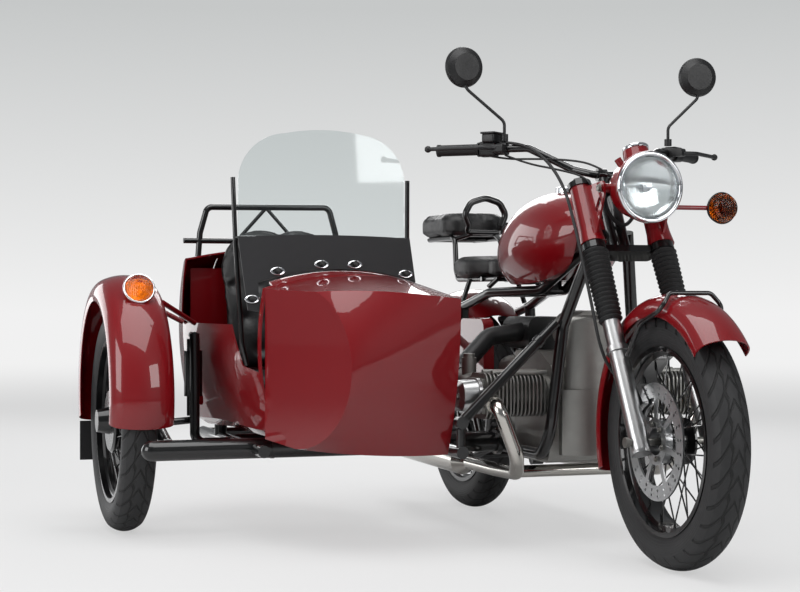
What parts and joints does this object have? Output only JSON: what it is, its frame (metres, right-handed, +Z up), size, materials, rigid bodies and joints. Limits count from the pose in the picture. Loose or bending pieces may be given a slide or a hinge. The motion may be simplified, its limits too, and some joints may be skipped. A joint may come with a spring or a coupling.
{
  "type": "sidecar motorcycle",
  "caption": "Flat-twin motorcycle with a passenger sidecar on its right: open tub with screen and apron, wire wheels, steering fork, opening boot lid and stand.",
  "frame": {"origin": "on the ground under the centre of the whole machine's plan box", "axes": "+X forward, +Y to the rider's left, away from the sidecar, +Z up"},
  "size_m": [2.2764, 1.8167, 1.4439],
  "materials": {
    "tyre": "matt",
    "wheel_black": "gloss",
    "disc_steel": "satin",
    "bright_metal": "satin",
    "red_paint": "gloss",
    "black_paint": "gloss",
    "rubber": "matt",
    "black_plastic": "satin",
    "engine_metal": "cast",
    "exhaust_chrome": "polished",
    "lamp_glass": "clear",
    "lamp_orange": "gloss",
    "lamp_red": "gloss",
    "screen_clear": "clear",
    "black_leather": "satin",
    "black_cloth": "matt",
    "zinc_metal": "satin"
  },
  "bodies": {
    "chassis": {"bike_frame": "black_paint", "crankcase": "engine_metal", "engine_front_cover": "engine_metal", "cylinders": "engine_metal", "rocker_covers": "engine_metal", "carburettors": "engine_metal", "air_cleaner": "black_plastic", "exhausts": "exhaust_chrome", "fuel_tank": "red_paint", "rider_saddle": "black_leather", "pillion_seat": "black_leather", "seat_carrier": "black_paint", "rear_mudguard": "red_paint", "tail_lamp": "lamp_red", "plate_bracket": "black_paint", "swing_arm": "black_paint", "rear_shocks": "black_paint", "side_boxes": "red_paint", "footrests": "rubber", "sidecar_tub": "red_paint", "sidecar_cushion": "black_leather", "sidecar_seat_back": "black_leather", "apron": "black_cloth", "windscreen": "screen_clear", "screen_posts": "black_paint", "luggage_rack": "black_paint", "sidecar_frame": "black_paint", "sidecar_struts": "black_paint", "trailing_arm": "black_paint", "sidecar_shock": "black_paint", "sidecar_mudguard": "red_paint", "sidecar_lamp": "lamp_orange", "mud_flap": "rubber"},
    "steering": {"fork_legs": "bright_metal", "fork_gaiters": "rubber", "fork_clamps": "black_paint", "fork_covers": "red_paint", "headlight_shell": "red_paint", "headlight_lens": "lamp_glass", "front_indicator": "lamp_orange", "handlebar": "black_paint", "handlebar_grips": "rubber", "bar_controls": "black_plastic", "mirrors": "black_plastic", "front_mudguard": "red_paint", "mudguard_stay": "black_paint", "brake_calliper": "bright_metal", "front_axle": "zinc_metal"},
    "front_wheel": {"front_tyre": "tyre", "front_rim": "wheel_black", "brake_disc": "disc_steel"},
    "rear_wheel": {"rear_tyre": "tyre", "rear_rim": "wheel_black"},
    "sidecar_wheel": {"sidecar_tyre": "tyre", "sidecar_rim": "wheel_black"},
    "boot_lid": {"boot_lid": "red_paint"},
    "centre_stand": {"centre_stand": "black_paint"}
  },
  "joints": [
    {"name": "steering_turn", "type": "hinge", "parent": "chassis", "child": "steering", "pos_m": [0.47005, 0.43202, 0.8502], "axis": [-0.4772, 0, 0.8788], "range_deg": [-35, 35]},
    {"name": "front_wheel_spin", "type": "hinge", "parent": "steering", "child": "front_wheel", "pos_m": [0.79825, 0.43202, 0.34], "axis": [0, 1, 0], "continuous": true},
    {"name": "rear_wheel_spin", "type": "hinge", "parent": "chassis", "child": "rear_wheel", "pos_m": [-0.70175, 0.43202, 0.34], "axis": [0, 1, 0], "continuous": true},
    {"name": "sidecar_wheel_spin", "type": "hinge", "parent": "chassis", "child": "sidecar_wheel", "pos_m": [-0.45675, -0.81798, 0.34], "axis": [0, 1, 0], "continuous": true},
    {"name": "boot_lid_swing", "type": "hinge", "parent": "chassis", "child": "boot_lid", "pos_m": [-0.69175, -0.28798, 0.882], "axis": [0, 1, 0], "range_deg": [0, 75]},
    {"name": "centre_stand_swing", "type": "hinge", "parent": "chassis", "child": "centre_stand", "pos_m": [-0.23175, 0.43202, 0.246], "axis": [0, -1, 0], "range_deg": [0, 80]}
  ]
}
